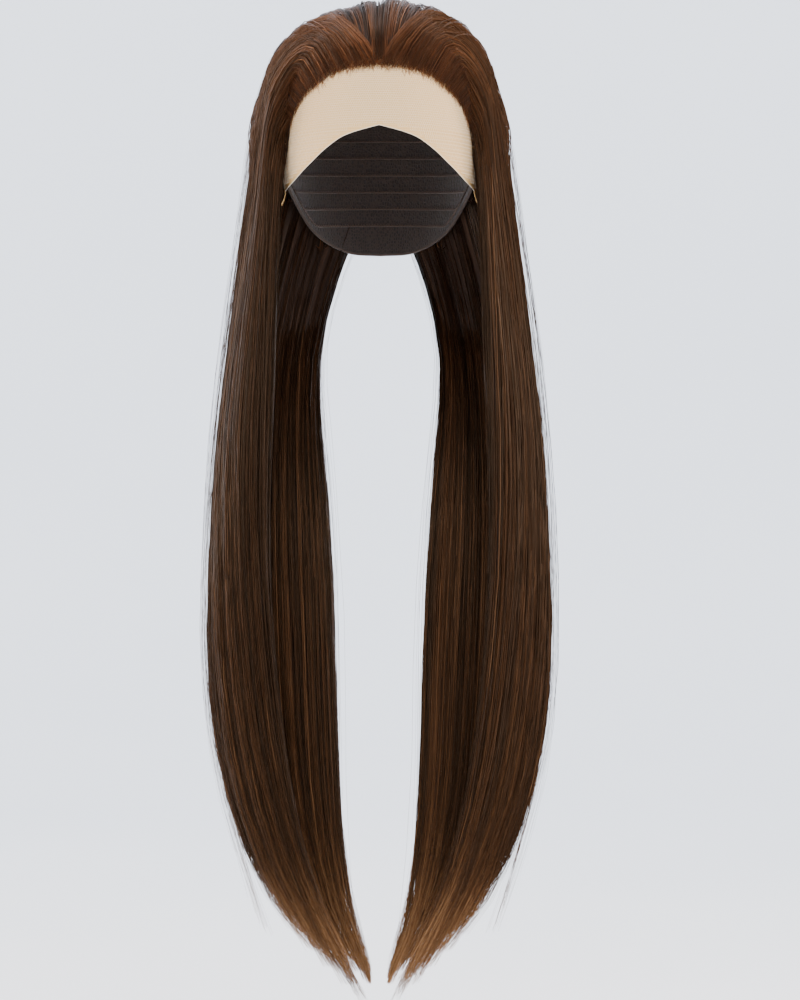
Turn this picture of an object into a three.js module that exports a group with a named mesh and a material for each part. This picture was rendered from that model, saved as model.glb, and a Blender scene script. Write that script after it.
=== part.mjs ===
// Lace front wig in long straight brown hair, combed back from a soft hairline.
// Millimetres, +Z up. The face side looks to -Y and +X is the right side as seen from the front.
// The origin is the crown point of the head, where the inside of the cap sits on it.
import * as THREE from "three";

// Head that the cap is made for
const headWidth = 154;
const headDepth = 194;
const crownHeight = 95;
const lowerHeight = 150;
const lowerFullness = 2.6;
const lowerRounding = 2.2;

// Cap and lace
const capClearance = 0.5;
const capWall = 1.5;
const laceWall = 1;
const seamGap = 0.3;
const earAngle = 86;
const earDrop = 140;
const laceFrontDrop = 95;
const earArchDrop = 126;
const napeDrop = 180;

// Hairline and the level where the hair leaves the head
const templeAngle = 66;
const hairlineDrop = 47;
const templeDrop = 112;
const baseDrop = 120;
const partGap = 0.6;
const sweepOver = 2.4;
const sweepFade = 0.75;
const sweepSide = 84;
const hairGap = 0.3;
// Keeps the flat facets of the hair off the cap between their corners
const facetSag = 1;

// Fullness of the hair on the head
const sideLift = 29;
const backFullness = 7;
const rootLift = 1.4;
const rootRise = 13;
const partDepth = 0.55;
const partWidth = 0.1;
const partPlace = 0.22;
const partLength = 0.16;

// Hair masses that hang in front of the shoulders
const fallReach = 133;
const fallForward = 110;
const hairDrop = 768;
const fallThickness = 26;
const edgeThinness = 0.72;
const fallSplitAngle = 130;
const fallSplitGap = 0.8;

// Locks
const lockAngle = 15;
const lockDepth = 3.2;
const lockValley = 0.6;
const headLockShare = 0.6;
const fallLockShare = 0.5;
const fullLockHalf = 6.5;
const lockTip = 26;
const tipShare = 0.2;

// Ear tabs
const tabLength = 17;
const tabWidth = 13;
const tabCurl = 9;
const tabPointWidth = 0.12;
const tabDroop = 0.75;
const tabTaper = 0.8;

// Rows and columns of facets
const laceSteps = 28;
const laceRows = 6;
const behindSteps = 16;
const capRows = 10;
const crownColumns = 22;
const crownRows = 13;
const sideColumns = 18;
const napeColumns = 12;
const fallRows = 22;
const tabRows = 6;
const tabColumns = 4;

const hairMaterial = new THREE.MeshStandardMaterial({ color: 0x4a3222, roughness: 0.45, metalness: 0 });
const capMaterial = new THREE.MeshStandardMaterial({ color: 0x2c2019, roughness: 0.9, metalness: 0 });
const laceMaterial = new THREE.MeshStandardMaterial({ color: 0xdcc9ae, roughness: 0.85, metalness: 0 });

// A table is a list of rows, each an object keyed by the column names.
function table(columns, rows) {
  const names = columns.split(" ");
  return rows.map((row) => Object.fromEntries(names.map((name, i) => [name, row[i]])));
}

// Hairline, from the centre of the forehead to the ear: share of the ear angle, share of the drop.
const hairlineRows = table("round drop", [
  [0, 0],
  [0.3, 0.05],
  [0.49, 0.2],
  [0.62, 0.36],
  [0.71, 0.55],
  [0.85, 0.78],
  [1, 1],
]);

// Lower edge of the lace, an arch over the forehead that comes down to the ears.
const laceEdgeRows = table("round drop", [
  [0, 0],
  [0.24, 0.17],
  [0.38, 0.37],
  [0.52, 0.6],
  [0.73, 0.86],
  [1, 1],
]);

// Seam where the lace panel meets the cap, as shares of the ear angle and of the ear drop.
const seamRows = table("round drop", [
  [0, 0.06],
  [0.25, 0.09],
  [0.5, 0.17],
  [0.75, 0.38],
  [0.9, 0.66],
  [1, 0.92],
]);

// Rim of the cap from the ear round to the nape: share of the way, share from ear arch to nape.
const rimRows = table("round drop", [
  [0, 0.05],
  [0.15, 0],
  [0.3, 0.25],
  [0.5, 0.7],
  [0.75, 0.96],
  [1, 1],
]);

// Level where the hair leaves the head, from the temple round to the back, as a share of baseDrop.
const baseRows = table("round drop", [
  [0, 0.83],
  [0.16, 0.95],
  [0.4, 1],
  [1, 1],
]);

// Lift of the hair off the head over the angle from the part to the side, as shares of sideLift.
const liftRows = table("over left right", [
  [0, 0.44, 0.46],
  [0.2, 0.38, 0.52],
  [0.42, 0.6, 0.7],
  [0.63, 0.79, 0.79],
  [0.84, 0.9, 0.86],
  [1, 1, 1],
]);

// Front mass of hair, from the temple edge a to the edge b behind the ear.
// x is a share of fallReach, y of fallForward, drop of hairDrop, bow and thick of fallThickness.
const sideFallRows = table("ax ay aDrop bx by bDrop bow thick", [
  [0.63, -0.47, 0.215, 0.69, 0.46, 0.215, 0.54, 0.92],
  [0.63, -0.56, 0.286, 0.75, 0.3, 0.286, 0.46, 1],
  [0.64, -0.73, 0.378, 0.86, 0, 0.378, 0.31, 1],
  [0.65, -0.87, 0.456, 0.93, -0.36, 0.456, 0.23, 1],
  [0.66, -0.96, 0.547, 0.97, -0.73, 0.547, 0.19, 0.92],
  [0.63, -1, 0.645, 1, -0.82, 0.645, 0.15, 0.92],
  [0.57, -1.01, 0.729, 0.98, -0.84, 0.729, 0.15, 0.88],
  [0.5, -1, 0.814, 0.89, -0.855, 0.794, 0.12, 0.77],
  [0.38, -0.98, 0.89, 0.79, -0.87, 0.853, 0.1, 0.62],
  [0.26, -0.95, 0.955, 0.73, -0.89, 0.9, 0.08, 0.38],
  [0.16, -0.93, 1, 0.66, -0.89, 0.93, 0.05, 0.12],
]);

// Inner mass of hair, from behind the ear a to the part at the back b, drawn forward past the neck.
const napeFallRows = table("ax ay aDrop bx by bDrop bow thick", [
  [0.62, 0.48, 0.215, 0.17, 0.94, 0.215, 0.42, 0.77],
  [0.68, 0.34, 0.28, 0.38, 0.7, 0.28, 0.35, 0.85],
  [0.73, 0.18, 0.339, 0.4, 0.34, 0.339, 0.25, 0.85],
  [0.78, 0.02, 0.39, 0.38, 0.04, 0.39, 0.15, 0.85],
  [0.83, -0.24, 0.449, 0.335, -0.32, 0.449, 0.1, 0.85],
  [0.83, -0.47, 0.52, 0.295, -0.6, 0.52, 0.08, 0.85],
  [0.83, -0.6, 0.586, 0.265, -0.69, 0.586, 0.05, 0.8],
  [0.83, -0.67, 0.677, 0.25, -0.73, 0.677, 0.05, 0.77],
  [0.78, -0.69, 0.78, 0.24, -0.73, 0.78, 0.05, 0.69],
  [0.71, -0.71, 0.86, 0.24, -0.745, 0.875, 0.05, 0.54],
  [0.58, -0.73, 0.92, 0.17, -0.76, 0.95, 0, 0.35],
  [0.45, -0.745, 0.955, 0.08, -0.79, 0.99, 0, 0.12],
]);

const radians = THREE.MathUtils.degToRad;
const degrees = THREE.MathUtils.radToDeg;
const mix = THREE.MathUtils.lerp;

// Cubic between two values with a slope at each end.
function hermite(a, b, slopeA, slopeB, t) {
  const s = t * t;
  const c = s * t;
  return a * (2 * c - 3 * s + 1) + slopeA * (c - 2 * s + t) + b * (3 * s - 2 * c) + slopeB * (c - s);
}

// Value of one column at a place between the rows, on a smooth curve through them.
function read(rows, at, where, column) {
  const last = rows.length - 1;
  const x = THREE.MathUtils.clamp(where, rows[0][at], rows[last][at]);
  let i = 0;
  while (i < last - 1 && x > rows[i + 1][at]) i += 1;
  const slope = (k) => {
    const before = rows[Math.max(k - 1, 0)];
    const after = rows[Math.min(k + 1, last)];
    return (after[column] - before[column]) / (after[at] - before[at]);
  };
  const width = rows[i + 1][at] - rows[i][at];
  const t = (x - rows[i][at]) / width;
  return hermite(rows[i][column], rows[i + 1][column], slope(i) * width, slope(i + 1) * width, t);
}

// The head is a dome described by a turn from the face (0) to the back (180) and a tilt from the
// crown (0), each in degrees. A layer over it is found by its lift, the distance off the head.
function onHead(turn, tilt, lift) {
  const up = Math.cos(radians(tilt));
  const below = up < 0;
  const height = (below ? lowerHeight : crownHeight) + lift;
  const round = below ? (1 - Math.abs(up) ** lowerFullness) ** (1 / lowerRounding) : Math.sin(radians(tilt));
  return new THREE.Vector3(
    (headWidth / 2 + lift) * round * Math.sin(radians(turn)),
    -(headDepth / 2 + lift) * round * Math.cos(radians(turn)),
    -crownHeight + height * up,
  );
}

function tiltAtDrop(drop) {
  const height = drop < crownHeight ? crownHeight : lowerHeight;
  return degrees(Math.acos((crownHeight - drop) / height));
}

function directionOf(turn, tilt) {
  const round = Math.sin(radians(tilt));
  const up = Math.cos(radians(tilt));
  return new THREE.Vector3(round * Math.sin(radians(turn)), -round * Math.cos(radians(turn)), up);
}

// Tilts of the lines drawn on the head, for a turn away from the face on either side.
function hairlineTilt(turn) {
  const share = read(hairlineRows, "round", turn / earAngle, "drop");
  return tiltAtDrop(mix(hairlineDrop, templeDrop, share));
}

function laceEdgeTilt(turn) {
  const share = read(laceEdgeRows, "round", Math.abs(turn) / earAngle, "drop");
  return tiltAtDrop(mix(laceFrontDrop, earDrop, share));
}

function seamTilt(turn) {
  return tiltAtDrop(earDrop * read(seamRows, "round", Math.abs(turn) / earAngle, "drop"));
}

function capRimTilt(turn) {
  const away = Math.abs(turn);
  if (away <= earAngle) return seamTilt(away) - degrees(seamGap / crownHeight);
  const share = read(rimRows, "round", (away - earAngle) / (180 - earAngle), "drop");
  return tiltAtDrop(mix(earArchDrop, napeDrop, share));
}

// A closed body from an outer and an inner grid of points with the same rows and columns.
// wrapped joins the last row to the first. Points that fall together are merged.
function closedBody(outer, inner, wrapped = false) {
  const positions = [];
  const numbers = new Map();
  const number = (p) => {
    const key = p.toArray().map((v) => Math.round(v * 1e4)).join(" ");
    if (!numbers.has(key)) {
      numbers.set(key, positions.length / 3);
      positions.push(p.x, p.y, p.z);
    }
    return numbers.get(key);
  };
  const faces = [];
  const triangle = (a, b, c) => {
    if (a !== b && b !== c && a !== c) faces.push([a, b, c]);
  };
  const quad = (p, q, r, s) => {
    const [a, b, c, d] = [number(p), number(q), number(r), number(s)];
    triangle(a, b, c);
    triangle(a, c, d);
  };
  const rows = outer.length;
  const columns = outer[0].length;
  for (let i = 0; i < (wrapped ? rows : rows - 1); i += 1) {
    const next = (i + 1) % rows;
    for (let j = 0; j < columns - 1; j += 1) {
      quad(outer[i][j], outer[next][j], outer[next][j + 1], outer[i][j + 1]);
      quad(inner[i][j], inner[i][j + 1], inner[next][j + 1], inner[next][j]);
    }
    quad(outer[i][0], inner[i][0], inner[next][0], outer[next][0]);
    const end = columns - 1;
    quad(outer[i][end], outer[next][end], inner[next][end], inner[i][end]);
  }
  if (!wrapped) {
    const end = rows - 1;
    for (let j = 0; j < columns - 1; j += 1) {
      quad(outer[0][j], outer[0][j + 1], inner[0][j + 1], inner[0][j]);
      quad(outer[end][j], inner[end][j], inner[end][j + 1], outer[end][j + 1]);
    }
  }
  const corner = (n) => new THREE.Vector3().fromArray(positions, 3 * n);
  const volume = faces.reduce((sum, [a, b, c]) => sum + corner(a).dot(corner(b).cross(corner(c))), 0);
  const outward = volume > 0 ? faces : faces.map(([a, b, c]) => [a, c, b]);
  const geometry = new THREE.BufferGeometry();
  geometry.setAttribute("position", new THREE.Float32BufferAttribute(positions, 3));
  geometry.setIndex(outward.flat());
  geometry.computeVertexNormals();
  return geometry;
}

function grid(rows, columns, pointAt) {
  const line = (i) => Array.from({ length: columns + 1 }, (_, j) => pointAt(i / rows, j / columns));
  return Array.from({ length: rows + 1 }, (_, i) => line(i));
}

// Turns at which the lace panel and the cap in front of the ears both have a row of points.
const laceTurns = Array.from({ length: laceSteps + 1 }, (_, i) => mix(-earAngle, earAngle, i / laceSteps));

// Cap: a thin dome from the crown down to the seam in front, over the ears and down to the nape.
function crownCap() {
  const way = (i) => (i + 1) / behindSteps;
  const behind = Array.from({ length: behindSteps - 1 }, (_, i) => mix(earAngle, 360 - earAngle, way(i)));
  const turns = [...laceTurns, ...behind];
  const surface = (lift) => turns.map((turn) => {
    const away = turn > 180 ? 360 - turn : turn;
    const tilt = (row) => (row / capRows) * capRimTilt(away);
    return Array.from({ length: capRows + 1 }, (_, row) => onHead(turn, tilt(row), lift));
  });
  return closedBody(surface(capClearance + capWall), surface(capClearance), true);
}

// Lace panel: a thin crescent over the forehead, from the seam down to the arched lower edge.
function laceFront() {
  const surface = (lift) => laceTurns.map((turn) => {
    const tilt = (share) => mix(seamTilt(turn), laceEdgeTilt(turn), share);
    return Array.from({ length: laceRows + 1 }, (_, j) => onHead(turn, tilt(j / laceRows), lift));
  });
  return closedBody(surface(capClearance + laceWall), surface(capClearance));
}

// Ear tab: a small tongue of lace in front of the ear that curls away from the head to a point.
function earTab(side) {
  const surface = (lift) => grid(tabRows, tabColumns, (along, across) => {
    const narrowing = (1 - along) ** tabTaper + tabPointWidth;
    const turn = earAngle - degrees((across * narrowing * tabWidth) / (headDepth / 2));
    const tilt = laceEdgeTilt(turn) + degrees((seamGap + along * tabLength * tabDroop) / lowerHeight);
    return onHead(side * turn, tilt, lift + tabCurl * along * along);
  });
  return closedBody(surface(capClearance + laceWall), surface(capClearance));
}

// Flow of the hair on one half of the head. strand runs from the part (0) to the temple (1) and
// along from the hairline (0), back over the head, to the level where the hair hangs free (1).
function baseTurn(strand) {
  return mix(180 - partTurn, templeAngle, strand);
}

const partTurn = degrees(partGap / (headDepth / 2));

function flow(strand, along) {
  const front = mix(partTurn, templeAngle, strand);
  const start = directionOf(front, hairlineTilt(front));
  const over = directionOf(90, mix(partTurn, sweepSide, strand));
  const turn = baseTurn(strand);
  const level = read(baseRows, "round", (turn - templeAngle) / (180 - templeAngle), "drop");
  const end = directionOf(turn, tiltAtDrop(baseDrop * level));
  const t = along;
  return start.multiplyScalar((1 - t) * (1 - t))
    .addScaledVector(over, sweepOver * t * (1 - t) * (1 - strand * sweepFade))
    .addScaledVector(end, t * t)
    .normalize();
}

function lockWave(turn) {
  return Math.abs(Math.sin((Math.PI * turn) / lockAngle)) - lockValley;
}

// Lift of the outside of the hair: low at the hairline and in the part, full at the sides.
function hairLift(side, strand, along) {
  const d = flow(strand, along);
  const over = degrees(Math.asin(Math.min(1, Math.abs(d.x)))) / 90;
  const full = sideLift * read(liftRows, "over", over, side < 0 ? "left" : "right");
  const back = backFullness * Math.max(0, d.y) ** 2;
  const walked = d.angleTo(flow(strand, 0)) * crownHeight;
  const rise = 1 - Math.exp(-walked / rootRise);
  const front = Math.exp(-(((along - partPlace) / partLength) ** 2));
  const part = 1 - partDepth * front * Math.exp(-((strand / partWidth) ** 2));
  const ridge = lockDepth * headLockShare * lockWave(baseTurn(strand)) * rise;
  return rootLift + (full + back) * rise * part + ridge;
}

const skinLift = capClearance + capWall + hairGap + facetSag;

function crownPoint(side, strand, along, outside) {
  const d = flow(strand, along);
  const turn = degrees(Math.atan2(d.x, -d.y));
  const tilt = degrees(Math.acos(d.z));
  const lift = skinLift + (outside ? hairLift(side, strand, along) : 0);
  return onHead(side * turn, tilt, lift);
}

// Hair on one half of the head, from the hairline and the part to where it hangs free.
function crownHair(side) {
  const surface = (outside) => grid(crownColumns, crownRows, (strand, along) => {
    const point = crownPoint(side, strand, along, outside);
    if (side * point.x < partGap / 2) point.x = side * partGap / 2;
    return point;
  });
  return closedBody(surface(true), surface(false));
}

// Centre, outward direction and half thickness of a hanging mass at a place across it and down it.
function section(rows, level, across) {
  const at = (column) => read(rows, "row", level, column);
  const a = new THREE.Vector3(fallReach * at("ax"), fallForward * at("ay"), -hairDrop * at("aDrop"));
  const b = new THREE.Vector3(fallReach * at("bx"), fallForward * at("by"), -hairDrop * at("bDrop"));
  const outward = new THREE.Vector3(b.y - a.y, a.x - b.x, 0).normalize();
  const hump = 1 - (2 * across - 1) ** 2;
  const centre = a.lerp(b, across).addScaledVector(outward, fallThickness * at("bow") * hump);
  const half = fallThickness * at("thick") * (1 - edgeThinness * (2 * across - 1) ** 4) / 2;
  return { centre, outward, half };
}

// A hanging mass: it starts on the ring where the hair leaves the head, between two turns, and
// follows its rows of sections down. Its locks run on from those on the head and end in points.
function hangingMass(side, rows, turnA, turnB, columns) {
  const numbered = rows.map((row, i) => ({ row: i + 1, ...row }));
  const surface = (outside) => grid(columns, fallRows, (u, v) => {
    const turn = mix(turnA, turnB, u);
    const strand = (180 - partTurn - turn) / (180 - partTurn - templeAngle);
    const head = crownPoint(1, strand, 1, outside);
    head.z -= hairGap;
    const level = v * rows.length;
    const { centre, outward, half } = section(numbered, Math.max(level, 1), u);
    const wave = lockWave(turn);
    const lock = lockDepth * fallLockShare * wave * Math.min(1, half / fullLockHalf);
    const point = centre.addScaledVector(outward, (outside ? 1 : -1) * (half + lock));
    const tip = Math.max(0, (v - 1) / tipShare + 1);
    point.z += lockTip * (1 - lockValley - wave) * tip * tip;
    if (level < 1) point.lerpVectors(head, point.clone(), level);
    point.x *= side;
    return point;
  });
  return closedBody(surface(true), surface(false));
}

function sideFall(side) {
  return hangingMass(side, sideFallRows, templeAngle, fallSplitAngle - fallSplitGap / 2, sideColumns);
}

function napeFall(side) {
  return hangingMass(side, napeFallRows, fallSplitAngle + fallSplitGap / 2, 180 - partTurn, napeColumns);
}

const wig = new THREE.Group();

function add(name, geometry, material) {
  const mesh = new THREE.Mesh(geometry, material);
  mesh.name = name;
  wig.add(mesh);
}

add("crown_cap", crownCap(), capMaterial);
add("lace_front", laceFront(), laceMaterial);
for (const [sideName, side] of [["left", -1], ["right", 1]]) {
  add(`ear_tab_${sideName}`, earTab(side), laceMaterial);
  add(`crown_hair_${sideName}`, crownHair(side), hairMaterial);
  add(`side_fall_${sideName}`, sideFall(side), hairMaterial);
  add(`nape_fall_${sideName}`, napeFall(side), hairMaterial);
}

export default wig;
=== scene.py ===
# Lace front wig: the looks of the cap, the lace and the long straight hair, in metres.
import math

import bmesh
import bpy
import numpy as np
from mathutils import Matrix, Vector


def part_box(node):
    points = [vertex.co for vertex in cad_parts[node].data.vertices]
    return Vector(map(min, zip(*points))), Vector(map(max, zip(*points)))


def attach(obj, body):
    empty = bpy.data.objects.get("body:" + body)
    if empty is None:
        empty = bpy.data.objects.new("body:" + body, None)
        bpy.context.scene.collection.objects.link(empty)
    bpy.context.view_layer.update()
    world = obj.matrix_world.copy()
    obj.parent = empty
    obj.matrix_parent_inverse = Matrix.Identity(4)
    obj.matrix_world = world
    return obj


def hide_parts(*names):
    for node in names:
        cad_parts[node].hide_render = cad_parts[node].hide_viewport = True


bl_info = {
    "name": "Lace front wig",
    "version": (1, 0, 0),
    "blender": (4, 5, 0),
    "location": "3D View > Sidebar > Wig",
    "description": "Cap, lace and long straight hair of a lace front wig",
    "category": "Add Mesh",
}

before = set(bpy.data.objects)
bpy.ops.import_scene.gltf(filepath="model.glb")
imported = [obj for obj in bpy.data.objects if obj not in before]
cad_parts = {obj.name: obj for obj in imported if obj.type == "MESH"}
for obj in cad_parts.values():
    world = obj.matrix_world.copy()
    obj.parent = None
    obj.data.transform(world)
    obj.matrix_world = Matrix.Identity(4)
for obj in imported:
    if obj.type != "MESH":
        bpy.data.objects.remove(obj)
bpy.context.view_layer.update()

MM = 0.001

# Head and cap, taken from the cap's own box
CAP_CLEARANCE = 0.5 * MM
CAP_WALL = 1.5 * MM
LACE_WALL = 1 * MM
CAP_LIFT = CAP_CLEARANCE + CAP_WALL
CAP_HIGH = Vector(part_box("crown_cap")[1])
HEAD_HALF_WIDTH = CAP_HIGH.x - CAP_LIFT
HEAD_HALF_DEPTH = CAP_HIGH.y - CAP_LIFT
CROWN_HEIGHT = 95 * MM
LOWER_HEIGHT = 150 * MM
LOWER_FULLNESS = 2.6
LOWER_ROUNDING = 2.2
SEAM_GAP = 0.3 * MM

# Lines on the head: turns in degrees from the face, drops below the crown
EAR_ANGLE = 86
EAR_DROP = 140 * MM
LACE_FRONT_DROP = 95 * MM
EAR_ARCH_DROP = 126 * MM
NAPE_DROP = 180 * MM
TEMPLE_ANGLE = 66
HAIRLINE_DROP = 47 * MM
TEMPLE_DROP = 112 * MM
BASE_DROP = 120 * MM

# Hair on the head
SIDE_LIFT = 29 * MM
BACK_FULLNESS = 7 * MM
ROOT_LIFT = 1.4 * MM
ROOT_RISE = 13 * MM
PART_TURN = math.degrees(0.6 * MM / HEAD_HALF_DEPTH)
PART_DEPTH = 0.55
PART_WIDTH = 0.1

# Hanging hair
FALL_REACH = 133 * MM
FALL_FORWARD = 110 * MM
HAIR_DROP = 768 * MM
FALL_THICKNESS = 26 * MM
EDGE_THINNESS = 0.72
FALL_SPLIT_ANGLE = 130
LOCK_ANGLE = 15
LOCK_DEPTH = 3.2 * MM
LOCK_TIP = 26 * MM


def table(columns, rows):
    """A short table as one array for each named column."""
    return dict(zip(columns.split(), np.array(rows, dtype=float).T))


# The same tables of shares as the solids follow.
HAIRLINE = table("round drop", [
    (0, 0), (0.3, 0.05), (0.49, 0.2), (0.62, 0.36), (0.71, 0.55), (0.85, 0.78), (1, 1),
])
LACE_EDGE = table("round drop", [
    (0, 0), (0.24, 0.17), (0.38, 0.37), (0.52, 0.6), (0.73, 0.86), (1, 1),
])
SEAM = table("round drop", [
    (0, 0.06), (0.25, 0.09), (0.5, 0.17), (0.75, 0.38), (0.9, 0.66), (1, 0.92),
])
RIM = table("round drop", [
    (0, 0.05), (0.15, 0), (0.3, 0.25), (0.5, 0.7), (0.75, 0.96), (1, 1),
])
BASE = table("round drop", [
    (0, 0.83), (0.16, 0.95), (0.4, 1), (1, 1),
])
LIFT = table("over left right", [
    (0, 0.44, 0.46), (0.2, 0.38, 0.52), (0.42, 0.6, 0.7),
    (0.63, 0.79, 0.79), (0.84, 0.9, 0.86), (1, 1, 1),
])
SIDE_FALL = table("row ax ay aDrop bx by bDrop bow thick", [
    (1, 0.63, -0.47, 0.215, 0.69, 0.46, 0.215, 0.54, 0.92),
    (2, 0.63, -0.56, 0.286, 0.75, 0.3, 0.286, 0.46, 1),
    (3, 0.64, -0.73, 0.378, 0.86, 0, 0.378, 0.31, 1),
    (4, 0.65, -0.87, 0.456, 0.93, -0.36, 0.456, 0.23, 1),
    (5, 0.66, -0.96, 0.547, 0.97, -0.73, 0.547, 0.19, 0.92),
    (6, 0.63, -1, 0.645, 1, -0.82, 0.645, 0.15, 0.92),
    (7, 0.57, -1.01, 0.729, 0.98, -0.84, 0.729, 0.15, 0.88),
    (8, 0.5, -1, 0.814, 0.89, -0.855, 0.794, 0.12, 0.77),
    (9, 0.38, -0.98, 0.89, 0.79, -0.87, 0.853, 0.1, 0.62),
    (10, 0.26, -0.95, 0.955, 0.73, -0.89, 0.9, 0.08, 0.38),
    (11, 0.16, -0.93, 1, 0.66, -0.89, 0.93, 0.05, 0.12),
])
NAPE_FALL = table("row ax ay aDrop bx by bDrop bow thick", [
    (1, 0.62, 0.48, 0.215, 0.17, 0.94, 0.215, 0.42, 0.77),
    (2, 0.68, 0.34, 0.28, 0.38, 0.7, 0.28, 0.35, 0.85),
    (3, 0.73, 0.18, 0.339, 0.4, 0.34, 0.339, 0.25, 0.85),
    (4, 0.78, 0.02, 0.39, 0.38, 0.04, 0.39, 0.15, 0.85),
    (5, 0.83, -0.24, 0.449, 0.335, -0.32, 0.449, 0.1, 0.85),
    (6, 0.83, -0.47, 0.52, 0.295, -0.6, 0.52, 0.08, 0.85),
    (7, 0.83, -0.6, 0.586, 0.265, -0.69, 0.586, 0.05, 0.8),
    (8, 0.83, -0.67, 0.677, 0.25, -0.73, 0.677, 0.05, 0.77),
    (9, 0.78, -0.69, 0.78, 0.24, -0.73, 0.78, 0.05, 0.69),
    (10, 0.71, -0.71, 0.86, 0.24, -0.745, 0.875, 0.05, 0.54),
    (11, 0.58, -0.73, 0.92, 0.17, -0.76, 0.95, 0, 0.35),
    (12, 0.45, -0.745, 0.955, 0.08, -0.79, 0.99, 0, 0.12),
])
# Way of the front hair from the hairline up and over the side of the head, in degrees of turn and
# tilt at three places along the hairline: the centre, half way and the temple.
SWEEP = table("along turn_a tilt_a turn_b tilt_b turn_c tilt_c", [
    (0, 0, 60, 31, 64, 66, 86.5),
    (0.14, 15, 46, 40, 55, 67, 84),
    (0.28, 42, 33, 49, 54, 67.5, 85),
    (0.42, 62, 35, 56, 60, 67, 87),
    (0.57, 71, 48, 60, 68, 66.5, 89),
    (0.71, 74, 64, 63, 77, 66, 92),
    (0.86, 76, 80, 66, 85, 66, 94),
    (1, 79, 97, 69, 97, 65.5, 97),
])


def read(rows, at, where, column):
    """Values of a column at places between the rows, on a smooth curve through them."""
    xs = rows[at]
    ys = rows[column]
    x = np.clip(where, xs[0], xs[-1])
    i = np.clip(np.searchsorted(xs, x, side="right") - 1, 0, len(xs) - 2)
    before = np.maximum(np.arange(len(xs)) - 1, 0)
    after = np.minimum(np.arange(len(xs)) + 1, len(xs) - 1)
    slope = (ys[after] - ys[before]) / (xs[after] - xs[before])
    width = xs[i + 1] - xs[i]
    t = (x - xs[i]) / width
    s = t * t
    c = s * t
    start = ys[i] * (2 * c - 3 * s + 1) + slope[i] * width * (c - 2 * s + t)
    return start + ys[i + 1] * (3 * s - 2 * c) + slope[i + 1] * width * (c - s)


def mix(a, b, t):
    return a + (b - a) * t


def smooth(low, high, x):
    t = np.clip((x - low) / (high - low), 0, 1)
    return t * t * (3 - 2 * t)


def on_head(turn, tilt, lift):
    """Points over the head: turn from the face and tilt from the crown in degrees, lift in metres."""
    up = np.cos(np.radians(tilt))
    height = np.where(up < 0, LOWER_HEIGHT, CROWN_HEIGHT) + lift
    lower = (1 - np.abs(up) ** LOWER_FULLNESS) ** (1 / LOWER_ROUNDING)
    around = np.where(up < 0, lower, np.sin(np.radians(tilt)))
    x = (HEAD_HALF_WIDTH + lift) * around * np.sin(np.radians(turn))
    y = -(HEAD_HALF_DEPTH + lift) * around * np.cos(np.radians(turn))
    return np.stack(np.broadcast_arrays(x, y, -CROWN_HEIGHT + height * up), axis=-1)


def tilt_at_drop(drop):
    height = np.where(drop < CROWN_HEIGHT, CROWN_HEIGHT, LOWER_HEIGHT)
    return np.degrees(np.arccos((CROWN_HEIGHT - drop) / height))


def direction(turn, tilt):
    around = np.sin(np.radians(tilt))
    x = around * np.sin(np.radians(turn))
    y = -around * np.cos(np.radians(turn))
    return np.stack(np.broadcast_arrays(x, y, np.cos(np.radians(tilt))), axis=-1)


def hairline_tilt(turn):
    share = read(HAIRLINE, "round", np.abs(turn) / EAR_ANGLE, "drop")
    return tilt_at_drop(mix(HAIRLINE_DROP, TEMPLE_DROP, share))


def lace_edge_tilt(turn):
    share = read(LACE_EDGE, "round", np.abs(turn) / EAR_ANGLE, "drop")
    return tilt_at_drop(mix(LACE_FRONT_DROP, EAR_DROP, share))


def seam_tilt(turn):
    return tilt_at_drop(EAR_DROP * read(SEAM, "round", np.abs(turn) / EAR_ANGLE, "drop"))


def cap_rim_tilt(turn):
    away = np.abs(turn)
    share = read(RIM, "round", (away - EAR_ANGLE) / (180 - EAR_ANGLE), "drop")
    behind = tilt_at_drop(mix(EAR_ARCH_DROP, NAPE_DROP, share))
    in_front = seam_tilt(away) - math.degrees(SEAM_GAP / CROWN_HEIGHT)
    return np.where(away <= EAR_ANGLE, in_front, behind)


def base_turn(strand):
    return mix(180 - PART_TURN, TEMPLE_ANGLE, strand)


def unit(v):
    return v / np.linalg.norm(v, axis=-1, keepdims=True)


def flow(strand, along):
    """Way of the hair on one half of the head: strand 0 at the part to 1 at the temple."""
    front = mix(PART_TURN, TEMPLE_ANGLE, strand)
    start = direction(front, hairline_tilt(front))
    over = direction(90, mix(PART_TURN, 84, strand))
    turn = base_turn(strand)
    level = read(BASE, "round", (turn - TEMPLE_ANGLE) / (180 - TEMPLE_ANGLE), "drop")
    end = direction(turn, tilt_at_drop(BASE_DROP * level))
    t = along
    pull = (2.4 * t * (1 - t) * (1 - strand * 0.75))[..., None]
    return unit(start * ((1 - t) ** 2)[..., None] + over * pull + end * (t * t)[..., None])


def lock_wave(turn):
    return np.abs(np.sin(np.pi * turn / LOCK_ANGLE)) - 0.6


def hair_lift(side, strand, along):
    """Lift of the outside of the hair off the head, as the solids have it."""
    d = flow(strand, along)
    over = np.degrees(np.arcsin(np.clip(np.abs(d[..., 0]), 0, 1))) / 90
    full = SIDE_LIFT * read(LIFT, "over", over, "left" if side < 0 else "right")
    back = BACK_FULLNESS * np.maximum(0, d[..., 1]) ** 2
    root = flow(strand, np.zeros_like(along))
    walked = np.arccos(np.clip((d * root).sum(-1), -1, 1)) * CROWN_HEIGHT
    rise = 1 - np.exp(-walked / ROOT_RISE)
    front = np.exp(-(((along - 0.22) / 0.16) ** 2))
    part = 1 - PART_DEPTH * front * np.exp(-((strand / PART_WIDTH) ** 2))
    ridge = LOCK_DEPTH * 0.6 * lock_wave(base_turn(strand)) * rise
    return ROOT_LIFT + (full + back) * rise * part + ridge


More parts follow.
